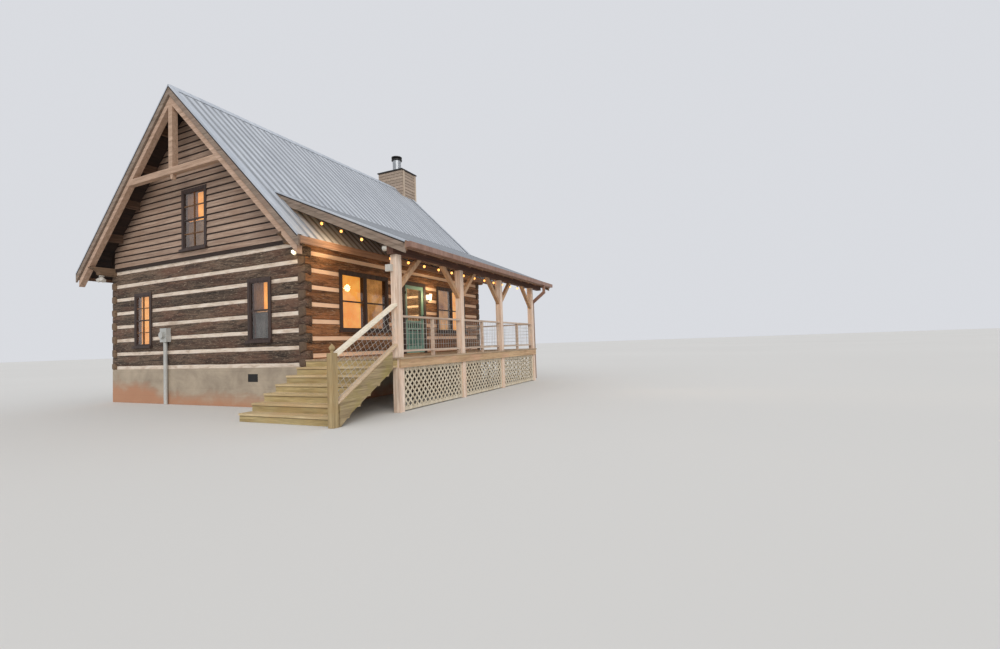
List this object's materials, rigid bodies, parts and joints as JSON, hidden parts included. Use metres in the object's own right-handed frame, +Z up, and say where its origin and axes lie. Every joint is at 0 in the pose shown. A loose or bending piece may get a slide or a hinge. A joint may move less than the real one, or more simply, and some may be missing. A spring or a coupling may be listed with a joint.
{
  "type": "log cabin",
  "caption": "Square-log cabin with half-dovetail corners, steep metal gable roof, covered front porch with rails, lattice skirts and side stair, a hinged screen door and an end chimney.",
  "frame": {"origin": "centre of the bounding box at ground level", "axes": "+X along the ridge from the near gable to the chimney end, -Y out through the porch side, +Z up"},
  "size_m": [10.708, 10.723, 9.1482],
  "materials": {
    "logs": "weathered grey-brown square logs",
    "front_logs": "warm red-brown square logs",
    "chinking": "pale sanded mortar between the logs",
    "siding": "stained lap siding",
    "foundation": "rendered block with soil stain",
    "vent": "dark vent grille",
    "floor": "plank floor",
    "trim": "very dark brown stained",
    "glass": "clear window glass, warm light behind",
    "roof": "galvanised corrugated sheet",
    "roof_boards": "stained roof boards",
    "lamp": "white and grey lamp housings",
    "timber": "tan rough timber",
    "barge": "brown stained board",
    "gutter": "brown coated metal",
    "porch_wood": "weathered warm timber",
    "stair_wood": "pressure treated timber",
    "lattice": "pale lattice strips",
    "wire": "galvanised wire",
    "chase": "tan lap siding",
    "flue": "galvanised pipe",
    "dark_metal": "matt black",
    "door_paint": "teal paint",
    "screen": "fine dark insect screen",
    "meter": "grey enamel"
  },
  "bodies": {
    "cabin": {"near_gable_logs": "logs", "far_gable_logs": "logs", "back_wall_logs": "logs", "front_wall_logs": "front_logs", "chinking": "chinking", "gable_siding": "siding", "long_foundations": "foundation", "end_foundations": "foundation", "foundation_vents": "vent", "floor": "floor", "window_frames": "trim", "window_glass": "glass", "door_frame": "trim", "frame_hinges": "dark_metal", "front_roof": "roof_boards", "back_roof": "roof_boards", "roof_sheets": "roof", "ridge_cap": "roof", "eave_friezes": "timber", "fascia_boards": "barge", "barge_boards": "barge", "fly_rafters": "timber", "collar_beams": "timber", "king_post": "timber", "rake_lookouts": "timber", "chimney_chase": "chase", "chimney_caps": "dark_metal", "flue_pipe": "flue", "porch_posts": "porch_wood", "porch_beam": "porch_wood", "knee_braces": "porch_wood", "porch_roof": "roof_boards", "porch_rafters": "porch_wood", "porch_gutter": "gutter", "downspout": "gutter", "porch_deck": "porch_wood", "deck_frame": "porch_wood", "deck_joists": "porch_wood", "railings": "porch_wood", "railing_wire": "wire", "lattice_skirts": "lattice", "stair_treads": "stair_wood", "stair_risers": "stair_wood", "stair_stringers": "stair_wood", "newel_post": "stair_wood", "stair_rails": "stair_wood", "meter_box": "meter", "outside_lamps": "lamp"},
    "door": {"screen_door": "door_paint", "door_hardware": "dark_metal", "door_screen": "screen"}
  },
  "joints": [
    {"name": "screen_door_hinge", "type": "hinge", "parent": "cabin", "child": "door", "pos_m": [-0.1245, -2.5505, 2], "axis": [0, 0, -1], "range_deg": [0, 90]}
  ]
}
